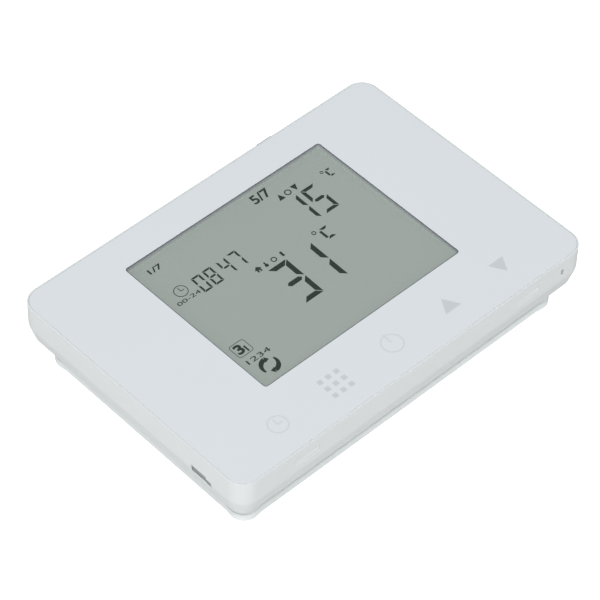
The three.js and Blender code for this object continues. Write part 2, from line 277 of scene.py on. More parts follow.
def drawn_lines():
    """Long fine scratches along one direction, as brushing and rolling leave them."""
    group, given, result = new_group(
        "drawn_lines", [("Fine", 900.0), ("Stretch", 0.04)], ["Height", "Streak"]
    )
    place = group.nodes.new("ShaderNodeTexCoord")
    squeeze = group.nodes.new("ShaderNodeCombineXYZ")
    squeeze.inputs["Y"].default_value = 1.0
    squeeze.inputs["Z"].default_value = 1.0
    group.links.new(given.outputs["Stretch"], squeeze.inputs["X"])
    scaled = group.nodes.new("ShaderNodeVectorMath")
    scaled.operation = "MULTIPLY"
    group.links.new(place.outputs["Object"], scaled.inputs[0])
    group.links.new(squeeze.outputs["Vector"], scaled.inputs[1])
    noise = group.nodes.new("ShaderNodeTexNoise")
    noise.inputs["Detail"].default_value = 5.0
    group.links.new(scaled.outputs["Vector"], noise.inputs["Vector"])
    group.links.new(given.outputs["Fine"], noise.inputs["Scale"])
    contrast = group.nodes.new("ShaderNodeMapRange")
    contrast.inputs["From Min"].default_value = 0.35
    contrast.inputs["From Max"].default_value = 0.65
    group.links.new(noise.outputs["Fac"], contrast.inputs["Value"])
    group.links.new(noise.outputs["Fac"], result.inputs["Height"])
    group.links.new(contrast.outputs["Result"], result.inputs["Streak"])
    return group


def stray_specks():
    """Sparse tiny specks, as dust or flakes in the resin."""
    group, given, result = new_group(
        "stray_specks", [("Spacing", 220.0), ("Size", 0.06)], ["Speck"]
    )
    place = group.nodes.new("ShaderNodeTexCoord")
    cells = group.nodes.new("ShaderNodeTexVoronoi")
    group.links.new(place.outputs["Object"], cells.inputs["Vector"])
    group.links.new(given.outputs["Spacing"], cells.inputs["Scale"])
    near = group.nodes.new("ShaderNodeMath")
    near.operation = "LESS_THAN"
    group.links.new(cells.outputs["Distance"], near.inputs[0])
    group.links.new(given.outputs["Size"], near.inputs[1])
    group.links.new(near.outputs["Value"], result.inputs["Speck"])
    return group


SKIN = moulded_skin()
LINES = drawn_lines()
SPECKS = stray_specks()


def surface(name, metallic=0.0, coat=0.0, coat_roughness=0.05, specular=0.5):
    material = bpy.data.materials.new(name)
    material.use_nodes = True
    nodes = material.node_tree.nodes
    shader = nodes["Principled BSDF"]
    shader.inputs["Metallic"].default_value = metallic
    shader.inputs["Coat Weight"].default_value = coat
    shader.inputs["Coat Roughness"].default_value = coat_roughness
    shader.inputs["Specular IOR Level"].default_value = specular
    return material, nodes, material.node_tree.links, shader


def place_group(nodes, group, **values):
    node = nodes.new("ShaderNodeGroup")
    node.node_tree = group
    for label, value in values.items():
        node.inputs[label].default_value = value
    return node


def blend_colours(nodes, links, factor, first, second, target):
    mix = nodes.new("ShaderNodeMix")
    mix.data_type = "RGBA"
    mix.inputs["A"].default_value = first
    mix.inputs["B"].default_value = second
    links.new(factor, mix.inputs["Factor"])
    links.new(mix.outputs["Result"], target)


def vary(nodes, links, source, low, high, target, near=0.3, far=0.7):
    ramp = nodes.new("ShaderNodeMapRange")
    ramp.inputs["From Min"].default_value = near
    ramp.inputs["From Max"].default_value = far
    ramp.inputs["To Min"].default_value = low
    ramp.inputs["To Max"].default_value = high
    links.new(source, ramp.inputs["Value"])
    links.new(ramp.outputs["Result"], target)


def raise_bumps(nodes, links, source, shader, strength, depth):
    bump = nodes.new("ShaderNodeBump")
    bump.inputs["Strength"].default_value = strength
    bump.inputs["Distance"].default_value = depth
    links.new(source, bump.inputs["Height"])
    links.new(bump.outputs["Normal"], shader.inputs["Normal"])


def plastic(
    name, light, dark, gloss, grain, depth, strength=0.3, drift=40.0, coat=0.0, specular=0.5
):
    """Moulded plastic: two near tones, drifting gloss and a fine tool grain."""
    material, nodes, links, shader = surface(name, coat=coat, specular=specular)
    skin = place_group(nodes, SKIN, Grain=grain, Drift=drift)
    blend_colours(nodes, links, skin.outputs["Cloud"], light, dark, shader.inputs["Base Color"])
    vary(nodes, links, skin.outputs["Cloud"], gloss[0], gloss[1], shader.inputs["Roughness"])
    raise_bumps(nodes, links, skin.outputs["Height"], shader, strength, depth)
    return material


def metal(name, light, dark, gloss, fine):
    """Drawn or stamped metal with streaks along X."""
    material, nodes, links, shader = surface(name, metallic=1.0)
    lines = place_group(nodes, LINES, Fine=fine, Stretch=0.04)
    streak = lines.outputs["Streak"]
    blend_colours(nodes, links, streak, light, dark, shader.inputs["Base Color"])
    vary(nodes, links, streak, gloss[0], gloss[1], shader.inputs["Roughness"], 0, 1)
    raise_bumps(nodes, links, lines.outputs["Height"], shader, 0.25, 0.02 * MM)
    return material


def clear_pane():
    """Thin clear pane: almost nothing face on, more mirror at a shallow angle."""
    material, nodes, links, shader = surface("clear_pane", specular=1.0)
    skin = place_group(nodes, SKIN, Grain=300.0, Drift=30.0)
    blend_colours(
        nodes, links, skin.outputs["Cloud"], srgb(36, 40, 40), srgb(30, 34, 34),
        shader.inputs["Base Color"],
    )
    facing = nodes.new("ShaderNodeLayerWeight")
    facing.inputs["Blend"].default_value = 0.25
    vary(nodes, links, facing.outputs["Facing"], 0.03, 0.5, shader.inputs["Alpha"], 0.3, 1.0)
    vary(nodes, links, skin.outputs["Cloud"], 0.03, 0.06, shader.inputs["Roughness"])
    return material


def window_shadow_paint():
    """Ring round the display with painted shade: the cell's pale grey at its foot, darkening up to
    a dark lip, standing in for the shadow the window's edge throws on the display.
    """
    material, nodes, links, shader = surface("window_shadow_paint", specular=0.2)
    place = nodes.new("ShaderNodeTexCoord")
    split = nodes.new("ShaderNodeSeparateXYZ")
    links.new(place.outputs["Object"], split.inputs["Vector"])
    height = nodes.new("ShaderNodeMapRange")
    height.inputs["From Min"].default_value = CELL_HIGH.z
    height.inputs["From Max"].default_value = LENS_HIGH.z
    links.new(split.outputs["Z"], height.inputs["Value"])
    painted_shadow_ramp = nodes.new("ShaderNodeValToRGB")
    # Painted shadow ramp: pale as the cell at the bottom, darkest at the lip at the top.
    painted_shadow_ramp.color_ramp.elements[0].color = srgb(198, 206, 200)
    painted_shadow_ramp.color_ramp.elements[1].color = srgb(106, 109, 114)
    middle = painted_shadow_ramp.color_ramp.elements.new(0.8)
    middle.color = srgb(170, 173, 178)
    links.new(height.outputs["Result"], painted_shadow_ramp.inputs["Fac"])
    links.new(painted_shadow_ramp.outputs["Color"], shader.inputs["Base Color"])
    skin = place_group(nodes, SKIN, Grain=3000.0, Drift=60.0)
    vary(nodes, links, skin.outputs["Cloud"], 0.7, 0.85, shader.inputs["Roughness"])
    raise_bumps(nodes, links, skin.outputs["Height"], shader, 0.3, 0.02 * MM)
    return material


def crystal_grey():
    """Reflective display: grey-green, a touch lighter and darker in slow clouds."""
    material, nodes, links, shader = surface("crystal_grey", specular=0.3)
    skin = place_group(nodes, SKIN, Grain=9000.0, Drift=22.0)
    blend_colours(
        nodes, links, skin.outputs["Cloud"], srgb(171, 180, 174), srgb(166, 175, 170),
        shader.inputs["Base Color"],
    )
    vary(nodes, links, skin.outputs["Cloud"], 0.42, 0.5, shader.inputs["Roughness"])
    raise_bumps(nodes, links, skin.outputs["Height"], shader, 0.08, 0.01 * MM)
    return material


def circuit_green():
    """Solder-resist green with copper tracks showing as slightly raised paler bands."""
    material, nodes, links, shader = surface("circuit_green", coat=0.3, coat_roughness=0.2)
    place = nodes.new("ShaderNodeTexCoord")
    tracks = nodes.new("ShaderNodeTexBrick")
    tracks.inputs["Scale"].default_value = 160.0
    tracks.inputs["Mortar Size"].default_value = 0.06
    tracks.inputs["Color1"].default_value = srgb(22, 84, 52)
    tracks.inputs["Color2"].default_value = srgb(26, 92, 58)
    tracks.inputs["Mortar"].default_value = srgb(48, 122, 78)
    links.new(place.outputs["Object"], tracks.inputs["Vector"])
    links.new(tracks.outputs["Color"], shader.inputs["Base Color"])
    skin = place_group(nodes, SKIN, Grain=1800.0, Drift=60.0)
    vary(nodes, links, skin.outputs["Cloud"], 0.3, 0.42, shader.inputs["Roughness"])
    raise_bumps(nodes, links, tracks.outputs["Fac"], shader, 0.4, 0.03 * MM)
    return material


def resin_with_flecks(name, base, fleck, gloss):
    """Dark filled resin with pale glass flecks."""
    material, nodes, links, shader = surface(name)
    specks = place_group(nodes, SPECKS, Spacing=2600.0, Size=0.12)
    skin = place_group(nodes, SKIN, Grain=3200.0, Drift=80.0)
    blend_colours(nodes, links, specks.outputs["Speck"], base, fleck, shader.inputs["Base Color"])
    vary(nodes, links, skin.outputs["Cloud"], gloss[0], gloss[1], shader.inputs["Roughness"])
    raise_bumps(nodes, links, skin.outputs["Height"], shader, 0.3, 0.03 * MM)
    return material


FACE_WHITE = plastic(
    "face_white", srgb(223, 228, 231), srgb(220, 225, 229), (0.10, 0.15),
    grain=500.0, depth=0.004 * MM, strength=0.1, drift=18.0, coat=0.4,
)
HOUSING_WHITE = plastic(
    "housing_white", srgb(226, 229, 229), srgb(221, 225, 225), (0.32, 0.42),
    grain=3200.0, depth=0.02 * MM, strength=0.25, drift=30.0,
)
BACK_WHITE = plastic(
    "back_white", srgb(224, 228, 228), srgb(216, 220, 221), (0.46, 0.58),
    grain=2200.0, depth=0.04 * MM, strength=0.4, drift=35.0,
)
PLATE_WHITE = plastic(
    "plate_white", srgb(233, 237, 236), srgb(227, 231, 231), (0.42, 0.54),
    grain=2400.0, depth=0.035 * MM, strength=0.35, drift=32.0,
)
PRINT_GREY = plastic(
    "print_grey", srgb(203, 208, 210), srgb(200, 205, 208), (0.3, 0.36),
    grain=2500.0, depth=0.004 * MM, strength=0.1,
)
PRINT_PALE = plastic(
    "print_pale", srgb(209, 214, 217), srgb(206, 211, 214), (0.3, 0.36),
    grain=2500.0, depth=0.004 * MM, strength=0.1,
)
SEGMENT_DARK = plastic(
    "segment_dark", srgb(50, 62, 54), srgb(44, 56, 48), (0.4, 0.5),
    grain=4000.0, depth=0.004 * MM, strength=0.1, specular=0.3,
)
DIFFUSER = plastic(
    "diffuser", srgb(240, 241, 236), srgb(232, 234, 230), (0.5, 0.6), grain=1500.0, depth=0.02 * MM
)
RUBBER = plastic(
    "elastomer", srgb(38, 39, 41), srgb(30, 31, 33), (0.7, 0.85), grain=1800.0, depth=0.05 * MM
)
FILTER_FOAM = plastic(
    "filter_foam", srgb(168, 173, 170), srgb(150, 155, 152), (0.85, 0.95),
    grain=3600.0, depth=0.2 * MM, strength=0.8, specular=0.15,
)
TERMINAL_GREY = plastic(
    "terminal_grey", srgb(150, 155, 158), srgb(138, 143, 147), (0.42, 0.55),
    grain=2400.0, depth=0.04 * MM, strength=0.4,
)
RELAY_BLUE = plastic(
    "relay_blue", srgb(44, 78, 134), srgb(38, 68, 120), (0.35, 0.5), grain=2600.0, depth=0.03 * MM
)
SENSOR_BEAD = plastic(
    "sensor_bead", srgb(60, 40, 26), srgb(44, 28, 18), (0.15, 0.28), grain=600.0, depth=0.03 * MM
)
CHIP_BLACK = resin_with_flecks("chip_black", srgb(34, 35, 37), srgb(84, 86, 90), (0.45, 0.6))
STEEL = metal("zinc_steel", srgb(196, 199, 203), srgb(164, 168, 174), (0.22, 0.4), 900.0)
BRASS = metal("contact_brass", srgb(214, 182, 112), srgb(188, 152, 84), (0.2, 0.36), 900.0)
ALUMINIUM = metal("capacitor_can", srgb(206, 208, 212), srgb(176, 180, 186), (0.2, 0.34), 700.0)
CLEAR = clear_pane()
CRYSTAL = crystal_grey()
# Painted shade for the ring round the display window.
WINDOW_SHADOW_FINISH = window_shadow_paint()
CIRCUIT = circuit_green()


# ---------------------------------------------------------------- face and display

WINDOW_CORNER = 0.9 * MM
PANE_CORNER = 0.7 * MM


def face_panel():
    """Flush plate that fills the rim but for a hairline seam, with the display window cut out."""
    low = Vector((HOUSING_LOW.x + RIM + SEAM, HOUSING_LOW.y + RIM + SEAM, PANEL_LOW.z))
    high = Vector((HOUSING_HIGH.x - RIM - SEAM, HOUSING_HIGH.y - RIM - SEAM, PANEL_HIGH.z))
    panel = rounded_block(low, high, CORNER_RADIUS - RIM - SEAM, "face_panel", segments=14)
    cut(panel, window_block(WINDOW_GAP, WINDOW_CORNER, PANEL_LOW.z - MM, PANEL_HIGH.z + MM))
    return crisp(panel, 0.07 * MM, segments=3, smooth=14)


def window_block(spare, radius, z0, z1):
    low = Vector((LENS_LOW.x - spare, LENS_LOW.y - spare, z0))
    high = Vector((LENS_HIGH.x + spare, LENS_HIGH.y + spare, z1))
    return rounded_block(low, high, radius, segments=6)


def window_shadow_ring():
    """Dark ring that fills the slot between the window's wall and the pane, down to the cell; it
    carries the painted shadow of the window's edge on the display.
    """
    slack = 0.005 * MM
    ring = window_block(WINDOW_GAP - 0.01 * MM, 0.88 * MM, CELL_HIGH.z + slack, LENS_HIGH.z)
    ring.name = "display_shadow_ring"
    return cut(ring, window_block(slack, PANE_CORNER, PANEL_LOW.z - MM, PANEL_HIGH.z + MM))


def lens():
    pane = rounded_block(LENS_LOW, LENS_HIGH, PANE_CORNER, "display_pane", segments=6)
    return crisp(pane, 0.08 * MM)


def crystal_cell():
    cell = rounded_block(CELL_LOW, CELL_HIGH, 0.3 * MM, "crystal_cell", segments=3)
    return crisp(cell, 0.1 * MM)


dress(face_panel(), FACE_WHITE, "front_module", "face_white", "front_panel")
dress(lens(), CLEAR, "front_module", "display_lens", "display_lens")
dress(crystal_cell(), CRYSTAL, "front_module", "lcd_glass", "lcd_cell")
# The ring round the window wears painted shade, not a finish of its own.
dress(window_shadow_ring(), WINDOW_SHADOW_FINISH, "front_module", "elastomer")

INK_Z = (CELL_HIGH.z - 0.02 * MM, CELL_HIGH.z + 0.03 * MM)
INK_THROUGH = (INK_Z[0] - MM, INK_Z[1] + MM)


def ink_bar(x0, x1, y0, y1, pinch=None, z=INK_Z):
    """A printed bar, in millimetres. pinch names the long side that is cut back at 45 degrees."""
    bar = block((x0 * MM, y0 * MM, z[0]), (x1 * MM, y1 * MM, z[1]))
    if pinch is None:
        return bar
    flat = x1 - x0 > y1 - y0
    length, width = (x1 - x0, y1 - y0) if flat else (y1 - y0, x1 - x0)
    centre = Vector(((x0 + x1) / 2, (y0 + y1) / 2, 0)) * MM
    if pinch == "both":
        choose(bar, "EDGE", upright)
        bpy.ops.mesh.bevel(offset=0.49 * width * MM, segments=1, affect="EDGES")
        leave()
        return bar
    sides = {
        "low_y": lambda co: co.y < centre.y,
        "high_y": lambda co: co.y > centre.y,
        "low_x": lambda co: co.x < centre.x,
        "high_x": lambda co: co.x > centre.x,
    }
    shrink = (length - 2 * width) / length
    choose(bar, "VERT", sides[pinch])
    bpy.ops.transform.resize(
        value=(shrink, 1, 1) if flat else (1, shrink, 1), center_override=centre
    )
    leave()
    return bar


def turn(piece, angle, x, y):
    """Turns a flat piece about a point given in millimetres, anticlockwise for a positive angle."""
    choose(piece, "VERT", lambda co: True)
    bpy.ops.transform.rotate(value=-angle, orient_axis="Z", center_override=(x * MM, y * MM, 0))
    leave()
    return piece


SEGMENTS_OF = {
    "0": "abcdef", "1": "bc", "3": "abcdg", "4": "bcfg", "5": "acdfg", "7": "abc", "8": "abcdefg",
}


def numeral(symbol, x, y, width, height, stroke, gap, lean, reach=0.0):
    """One seven-segment figure with its lower left corner at x, y, in millimetres.

    reach is how much further left than right its middle bar runs.
    """
    middle, right, top = y + height / 2, x + width, y + height
    notch = stroke * 0.55 + gap
    bars = {
        "a": (x + gap, right - gap, top - stroke, top, "low_y"),
        "d": (x + gap, right - gap, y, y + stroke, "high_y"),
        "g": (x + notch - reach, right - notch, middle - stroke / 2, middle + stroke / 2, "both"),
        "b": (right - stroke, right, middle + gap, top - gap, "low_x"),
        "c": (right - stroke, right, y + gap, middle - gap, "low_x"),
        "f": (x, x + stroke, middle + gap, top - gap, "high_x"),
        "e": (x, x + stroke, y + gap, middle - gap, "high_x"),
    }
    made = []
    for key in SEGMENTS_OF[symbol]:
        x0, x1, y0, y1, pinch = bars[key]
        shift = lean * ((y0 + y1) / 2 - y)
        bar = ink_bar(x0 + shift, x1 + shift, y0, y1, pinch)
        if key in "bcef":
            turn(bar, -lean, (x0 + x1) / 2 + shift, (y0 + y1) / 2)
        made.append(bar)
    return made


def degrees_mark(x, y, width, height, stroke, ring_x, ring_y, ring_radius):
    """Degree ring, and the three-bar figure after it with its lower left corner at x, y."""
    top = y + height
    return [
        ink_ring(ring_x, ring_y, ring_radius, ring_radius * 0.6, sides=24),
        ink_bar(x + stroke * 0.75, x + width, top - stroke, top, "low_y"),
        ink_bar(x, x + stroke, y + stroke * 0.9, top - stroke * 0.9),
        ink_bar(x + stroke * 0.5, x + width - 0.25, y, y + stroke, "high_y"),
    ]


def ink_ring(x, y, outer, inner, z=INK_Z, sides=40):
    ring = disc((x * MM, y * MM), outer * MM, z[0], z[1], sides)
    return cut(ring, disc((x * MM, y * MM), inner * MM, z[0] - MM, z[1] + MM, sides))


def ink_triangle(x, y, half_width, height, z=INK_Z):
    """Triangle on a level base whose middle is at x, y. A negative height points it down."""
    mark = ink_bar(x - half_width, x + half_width, min(y, y + height), max(y, y + height), z=z)
    tip_y = (y + height) * MM
    choose(mark, "VERT", lambda co: abs(co.y - tip_y) < 0.01 * MM)
    bpy.ops.transform.resize(value=(0.01, 1, 1), center_override=(x * MM, tip_y, 0))
    leave()
    return mark


def clock_mark(x, y, radius, stroke, z=INK_Z):
    half = stroke / 2
    face = ink_ring(x, y, radius, radius - stroke, z, sides=56)
    minute = ink_bar(x - half, x + half, y - half, y + radius * 0.7, z=z)
    hour = ink_bar(x - half, x + radius * 0.55, y - half, y + half, z=z)
    return [face, fuse(minute, hour)]


def figures(words, x, y, width, height, weight=0.0):
    """A short run of plain figures in the room given, in millimetres."""
    deselect()
    bpy.ops.object.text_add()
    run = bpy.context.object
    run.data.body = words
    run.data.offset = weight
    run.data.extrude = 0.5
    bpy.ops.object.convert(target="MESH")
    run = bpy.context.object
    low = Vector([min(point.co[axis] for point in run.data.vertices) for axis in range(3)])
    high = Vector([max(point.co[axis] for point in run.data.vertices) for axis in range(3)])
    size = Vector((width * MM, height * MM, INK_Z[1] - INK_Z[0]))
    run.scale = [size[axis] / (high[axis] - low[axis]) for axis in range(3)]
    corner = Vector((x * MM, y * MM, INK_Z[0]))
    run.location = [corner[axis] - low[axis] * run.scale[axis] for axis in range(3)]
    return settle(run, "figures")


def house_mark(x, y, size):
    walls = ink_bar(x + 0.15 * size, x + 0.85 * size, y, y + 0.6 * size)
    roof = ink_triangle(x + size / 2, y + 0.5 * size, 0.6 * size, 0.55 * size)
    door = ink_bar(x + 0.4 * size, x + 0.6 * size, y - 1, y + 0.35 * size, z=INK_THROUGH)
    return cut(fuse(walls, roof), door)


def bulb_mark(x, y, height):
    """Small thermometer: a bulb with a stem."""
    bulb = disc((x * MM, (y + 0.3 * height) * MM), 0.3 * height * MM, *INK_Z, sides=24)
    return fuse(bulb, ink_bar(x - 0.12 * height, x + 0.12 * height, y + 0.3 * height, y + height))


def cycling_arrow(x, y, angle):
    """Tapered curved arrow round x, y, later turned by the angle."""
    body = disc((x * MM, y * MM), 2.8 * MM, *INK_Z, sides=64)
    cut(
        body,
        disc(((x + 0.31) * MM, (y - 0.855) * MM), 2.39 * MM, *INK_THROUGH, sides=64),
        ink_bar(x, x + 4, y - 4, y + 4, z=INK_THROUGH),
        ink_bar(x - 4, x + 4, y - 4, y - 1.2, z=INK_THROUGH),
    )
    head = turn(ink_triangle(x, y + 2.07, 0.95, 1.25), math.radians(-112), x, y + 2.07)
    return turn(fuse(body, head), angle, x, y)


def display_figures():
    """All that the display shows. Places and sizes are in millimetres."""
    large = (6.3, 14.4, 1.48, 0.16, 0.02)
    medium = (4.75, 10.25, 1.03, 0.14, 0.02)
    small = (2.78, 5.9, 0.58, 0.1, 0.03)
    marks = []
    marks += numeral("3", -6.5, -6.8, *large, reach=0.43)
    marks += numeral("1", 2.07, -6.8, *large)
    marks += degrees_mark(12.8, 5.2, 3.0, 4.2, 0.74, 11.56, 9.38, 0.66)
    marks += numeral("1", 12.5, 12.26, *medium)
    marks += numeral("5", 18.72, 12.26, *medium)
    marks += degrees_mark(28.7, 21.15, 2.0, 2.8, 0.56, 27.97, 23.85, 0.52)
    for symbol, x in zip("0847", (-22.8, -19.05, -14.35, -10.6)):
        marks += numeral(symbol, x, 12.8, *small)
    marks += clock_mark(-27.05, 17.3, 1.95, 0.2)
    marks += [figures("00-24", -30.8, 13.6, 7.4, 1.25)]
    marks += [figures("1/7", -29.0, 26.5, 4.2, 1.8, weight=0.02)]
    marks += [figures("5/7", 7.3, 26.7, 5.9, 3.2, weight=0.02)]
    marks += [ink_triangle(13.9, 23.5, 1.0, 2.1), ink_ring(16.5, 24.5, 1.0, 0.68)]
    marks += [ink_triangle(19.1, 25.6, 1.0, -2.1)]
    marks += [house_mark(-8.5, 8.7, 1.9), bulb_mark(-5.0, 8.7, 1.8)]
    marks += [ink_ring(-2.3, 9.55, 0.85, 0.55), figures("1", 0.2, 8.7, 0.7, 1.7)]
    marks += [figures("1234", -30.8, -12.4, 7.4, 1.55)]
    outline = rounded_block(
        (-31.1 * MM, -9.4 * MM, INK_Z[0]), (-26.3 * MM, -4.75 * MM, INK_Z[1]),
        0.8 * MM, segments=5,
    )
    hollow = rounded_block(
        (-30.95 * MM, -9.25 * MM, INK_THROUGH[0]), (-26.45 * MM, -4.9 * MM, INK_THROUGH[1]),
        0.65 * MM, segments=5,
    )
    marks += [cut(outline, hollow)]
    marks += [figures("3", -30.4, -8.6, 2.2, 3.3, weight=0.035)]
    marks += [figures("1", -27.9, -8.9, 0.5, 2.1)]
    marks += [cycling_arrow(-27.0, -15.7, 0.0), cycling_arrow(-27.0, -15.7, math.pi)]
    return join(marks, "display_figures")


dress(display_figures(), SEGMENT_DARK, "front_module", None)

PRINT_Z = (FACE_Z - 0.02 * MM, FACE_Z + 0.015 * MM)


def key_grid(centre):
    """Three by three small squares, modelled once and copied."""
    x, y = centre.x / MM, centre.y / MM
    half = 0.72
    low = ((x - half) * MM, (y - half) * MM, PRINT_Z[0])
    high = ((x + half) * MM, (y + half) * MM, PRINT_Z[1])
    middle = rounded_block(low, high, 0.14 * MM, segments=2)
    pitch = 2.75 * MM
    steps = [(column, row) for column in (-1, 0, 1) for row in (-1, 0, 1) if column or row]
    return [middle] + [
        copy_at(middle, (column * pitch, row * pitch, 0), "grid_square") for column, row in steps
    ]


def key_power(centre):
    x, y = centre.x / MM, centre.y / MM
    ring = ink_ring(x, y, 3.12, 2.74, PRINT_Z, 64)
    return [fuse(ring, ink_bar(x - 0.2, x + 0.2, y + 0.2, y + 3.5, z=PRINT_Z))]


clock_key, menu_key, power_key, up_key, down_key = KEY_CENTRES
pale_prints = clock_mark(clock_key.x / MM, clock_key.y / MM, 2.82, 0.36, PRINT_Z)
pale_prints += key_power(power_key)
dress(join(pale_prints, "key_marks_pale"), PRINT_PALE, "front_module", None)
solid_prints = key_grid(menu_key)
solid_prints += [
    ink_triangle(up_key.x / MM, up_key.y / MM - 2.25, 2.7, 4.5, PRINT_Z),
    ink_triangle(down_key.x / MM, down_key.y / MM + 2.15, 2.6, -4.4, PRINT_Z),
]
dress(join(solid_prints, "key_marks_solid"), PRINT_GREY, "front_module", None)


# ---------------------------------------------------------------- front housing

TAB_BOXES = [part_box("release_tab_left"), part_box("release_tab_right")]
BUTTON_HEIGHT = 1.9 * MM
TAB_CLEARANCE = 0.25 * MM
TAB_SEAM = 0.06 * MM
TAB_SUNK = 0.08 * MM
GRIP_DEPTH = 0.24 * MM
RESET_X = sum(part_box("reset_plunger"), Vector()).x / 2
SENSOR_Y = sum(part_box("temperature_sensor"), Vector()).y / 2 - MM
CATCH_X = (21.0 * MM, 26.5 * MM)
CATCH_Z = (19.8 * MM, 21.85 * MM)
CATCH_PROUD = 0.3 * MM
THIN_WALL = 0.55 * MM


# Hollows behind the sensor's air slot and behind the reset slit, where the wall is thin
AIR_POCKET = (
    Vector((HOUSING_LOW.x + THIN_WALL, SENSOR_Y - 4.4 * MM, 12.6 * MM)),
    Vector((HOUSING_LOW.x + HOUSING_WALL + 0.2 * MM, SENSOR_Y + 4.4 * MM, 17.0 * MM)),
)
RESET_POCKET = (
    Vector((RESET_X - 1.5 * MM, HOUSING_LOW.y + 0.6 * MM, 14.2 * MM)),
    Vector((RESET_X + 1.5 * MM, HOUSING_LOW.y + HOUSING_WALL + 0.2 * MM, 18.9 * MM)),
)


def near(value, target):
    return abs(value - target) < 1e-6


def housing_shell():
    low = Vector((HOUSING_LOW.x, HOUSING_LOW.y, SHOULDER_Z))
    shell = rounded_block(low, HOUSING_HIGH, CORNER_RADIUS, "housing_shell", segments=14)
    choose(shell, "FACE", lambda centre, normal: normal.z < -0.9)
    bpy.ops.mesh.inset(thickness=UNDERCUT, depth=SHOULDER_Z - HOUSING_LOW.z)
    bpy.ops.mesh.inset(thickness=HOUSING_WALL - UNDERCUT)
    bpy.ops.mesh.extrude_region_move(
        TRANSFORM_OT_translate={"value": (0, 0, PANEL_LOW.z - 1.3 * MM - HOUSING_LOW.z)}
    )
    leave()
    choose(shell, "FACE", lambda centre, normal: normal.z > 0.9 and near(centre.z, FACE_Z))
    bpy.ops.mesh.inset(thickness=RIM)
    bpy.ops.mesh.extrude_region_move(
        TRANSFORM_OT_translate={"value": (0, 0, PANEL_LOW.z - FACE_Z)}
    )
    leave()
    choose(shell, "EDGE", lambda a, b: near(a.z, SHOULDER_Z) and near(b.z, SHOULDER_Z))
    bpy.ops.mesh.bevel(offset=SHOULDER_ROUND, segments=3, affect="EDGES")
    leave()
    return shell


def housing_openings():
    holder_low, holder_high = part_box("lcd_holder")
    spare = Vector((0.2, 0.2, 0)) * MM
    yield block(holder_low - spare, Vector((*(holder_high + spare).xy, FACE_Z + MM)))
    out = HOUSING_LOW.y - MM
    inner = HOUSING_LOW.y + HOUSING_WALL + 0.3 * MM
    for low, high in TAB_BOXES:
        spare = Vector((TAB_CLEARANCE, 0, TAB_CLEARANCE))
        button_low = Vector((low.x, out, high.z - BUTTON_HEIGHT)) - spare
        yield block(button_low, Vector((high.x, inner, high.z)) + spare)
    yield block(
        (RESET_X - 0.45 * MM, out, 16.1 * MM), (RESET_X + 0.45 * MM, inner, 18.6 * MM)
    )
    left = HOUSING_LOW.x
    for y0, y1, z0, z1 in ((-1.8, 3.7, 13.2, 15.8), (-3.7, -1.7, 12.95, 15.05)):
        near_low = (left - MM, SENSOR_Y + y0 * MM, z0 * MM)
        yield block(near_low, (left + THIN_WALL + 0.1 * MM, SENSOR_Y + y1 * MM, z1 * MM))
    for low, high in (AIR_POCKET, RESET_POCKET):
        yield block(low, high)


def housing():
    shell = housing_shell()
    cut(shell, *housing_openings())
    fuse(shell, block(
        (CATCH_X[0], HOUSING_HIGH.y - 0.4 * MM, CATCH_Z[0]),
        (CATCH_X[1], HOUSING_HIGH.y + CATCH_PROUD, CATCH_Z[1]),
    ))
    cut(shell, block(
        (CATCH_X[0], HOUSING_HIGH.y - 0.2 * MM, CATCH_Z[0] + MM),
        (CATCH_X[1], HOUSING_HIGH.y + 0.08 * MM, FACE_Z + MM),
    ))
    return crisp(shell, 0.14 * MM, angle=32, smooth=16)


dress(housing(), HOUSING_WHITE, "front_module", "housing_white", "front_housing")


def foam_pad(pocket, axis, name):
    """Dust pad of grey foam that fills the hollow behind a slot, dished in its middle."""
    spare = Vector((0.04, 0.04, 0.04)) * MM
    low, high = pocket[0] + spare, pocket[1] - spare
    low[axis] -= 0.02 * MM
    high[axis] = low[axis] + 1.3 * MM
    pad = block(low, high, name)
    choose(pad, "FACE", lambda centre, normal: normal[axis] < -0.9)
    bpy.ops.mesh.inset(thickness=0.3 * MM)
    inward = [0, 0, 0]
    inward[axis] = 0.15 * MM
    bpy.ops.transform.translate(value=inward)
    leave()
    return crisp(pad, 0.08 * MM)


dress(foam_pad(AIR_POCKET, 0, "air_filter"), FILTER_FOAM, "front_module", "elastomer")
dress(foam_pad(RESET_POCKET, 1, "reset_dust_pad"), FILTER_FOAM, "front_module", "elastomer")


BUTTON_BACK_Y = -37.1 * MM
SHELF_TOP_Z = 13.4 * MM
HOOK_TOP_Z = 12.8 * MM


